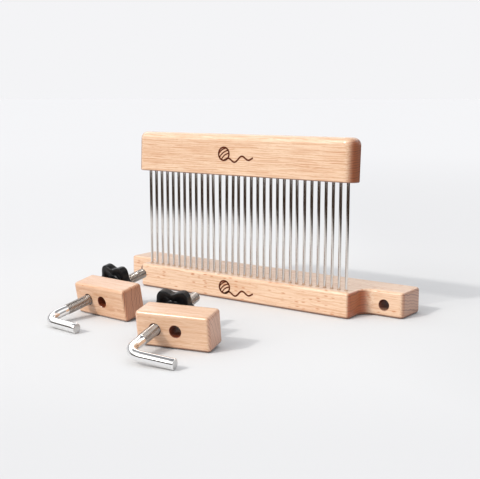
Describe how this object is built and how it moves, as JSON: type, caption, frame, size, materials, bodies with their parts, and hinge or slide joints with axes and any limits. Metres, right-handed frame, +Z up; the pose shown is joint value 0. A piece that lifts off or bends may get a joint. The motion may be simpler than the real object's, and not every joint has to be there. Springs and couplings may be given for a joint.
{
  "type": "blending hackle",
  "caption": "Fibre-blending hackle: a row of upright steel tines in a notched beech base, a beech bar covering the tips, and loose table clamps of bent rod, block and star knob.",
  "frame": {"origin": "on the table under the middle of the tine row, in the base bar's underside", "axes": "+X along the row of tines, +Y to the back, +Z up"},
  "size_m": [0.3264, 0.2785, 0.1614],
  "materials": {
    "beech": "oiled beech, satin, with rounded edges",
    "tine_steel": "drawn steel wire, bright",
    "rod_steel": "bright round bar with a rolled thread on the long leg",
    "black_plastic": "moulded plastic, slight sheen",
    "brass": "turned, threaded"
  },
  "bodies": {
    "base": {"base_bar": "beech", "tine_01": "tine_steel", "tine_02": "tine_steel", "tine_03": "tine_steel", "tine_04": "tine_steel", "tine_05": "tine_steel", "tine_06": "tine_steel", "tine_07": "tine_steel", "tine_08": "tine_steel", "tine_09": "tine_steel", "tine_10": "tine_steel", "tine_11": "tine_steel", "tine_12": "tine_steel", "tine_13": "tine_steel", "tine_14": "tine_steel", "tine_15": "tine_steel", "tine_16": "tine_steel", "tine_17": "tine_steel", "tine_18": "tine_steel", "tine_19": "tine_steel", "tine_20": "tine_steel", "tine_21": "tine_steel", "tine_22": "tine_steel", "tine_23": "tine_steel", "tine_24": "tine_steel", "tine_25": "tine_steel", "tine_26": "tine_steel", "tine_27": "tine_steel", "tine_28": "tine_steel", "tine_29": "tine_steel", "tine_30": "tine_steel", "tine_31": "tine_steel", "tine_32": "tine_steel"},
    "cover": {"tine_cover": "beech"},
    "left_clamp_rod": {"left_clamp_rod": "rod_steel"},
    "left_clamp_insert": {"left_clamp_insert": "brass"},
    "left_clamp_block": {"left_clamp_block": "beech"},
    "left_clamp_knob": {"left_clamp_knob": "black_plastic"},
    "right_clamp_rod": {"right_clamp_rod": "rod_steel"},
    "right_clamp_insert": {"right_clamp_insert": "brass"},
    "right_clamp_block": {"right_clamp_block": "beech"},
    "right_clamp_knob": {"right_clamp_knob": "black_plastic"}
  },
  "joints": [
    {"name": "cover_lift", "type": "slide", "parent": "base", "child": "cover", "axis": [0, 0, 1], "range_m": [0, 0.05]},
    {"name": "left_clamp_lift", "type": "slide", "parent": "base", "child": "left_clamp_rod", "axis": [0, 0, 1], "range_m": [0, 0.08]},
    {"name": "left_clamp_travel", "type": "slide", "parent": "left_clamp_rod", "child": "left_clamp_insert", "axis": [0.0548, 0.9804, 0.1891], "range_m": [-0.028, 0.028]},
    {"name": "left_clamp_knob_turn", "type": "hinge", "parent": "left_clamp_insert", "child": "left_clamp_knob", "pos_m": [-0.07478, -0.10912, 0.01912], "axis": [0.0548, 0.9804, 0.1891], "range_deg": [-6349.61, 6349.61]},
    {"name": "left_clamp_block_swivel", "type": "hinge", "parent": "left_clamp_insert", "child": "left_clamp_block", "pos_m": [-0.07544, -0.12079, 0.01687], "axis": [-0.0548, -0.9804, -0.1891], "continuous": true},
    {"name": "right_clamp_lift", "type": "slide", "parent": "base", "child": "right_clamp_rod", "axis": [0, 0, 1], "range_m": [0, 0.08]},
    {"name": "right_clamp_travel", "type": "slide", "parent": "right_clamp_rod", "child": "right_clamp_insert", "axis": [-0.2276, 0.963, 0.1444], "range_m": [-0.028, 0.028]},
    {"name": "right_clamp_knob_turn", "type": "hinge", "parent": "right_clamp_insert", "child": "right_clamp_knob", "pos_m": [0.03853, -0.15475, 0.01847], "axis": [-0.2276, 0.963, 0.1444], "range_deg": [-6349.61, 6349.61]},
    {"name": "right_clamp_block_swivel", "type": "hinge", "parent": "right_clamp_insert", "child": "right_clamp_block", "pos_m": [0.04124, -0.16621, 0.01676], "axis": [0.2276, -0.963, -0.1444], "continuous": true}
  ],
  "couplings": [
    {"joint": "left_clamp_travel", "follows": "left_clamp_knob_turn", "m_per_rad": 0.00025266},
    {"joint": "right_clamp_travel", "follows": "right_clamp_knob_turn", "m_per_rad": 0.00025266}
  ]
}
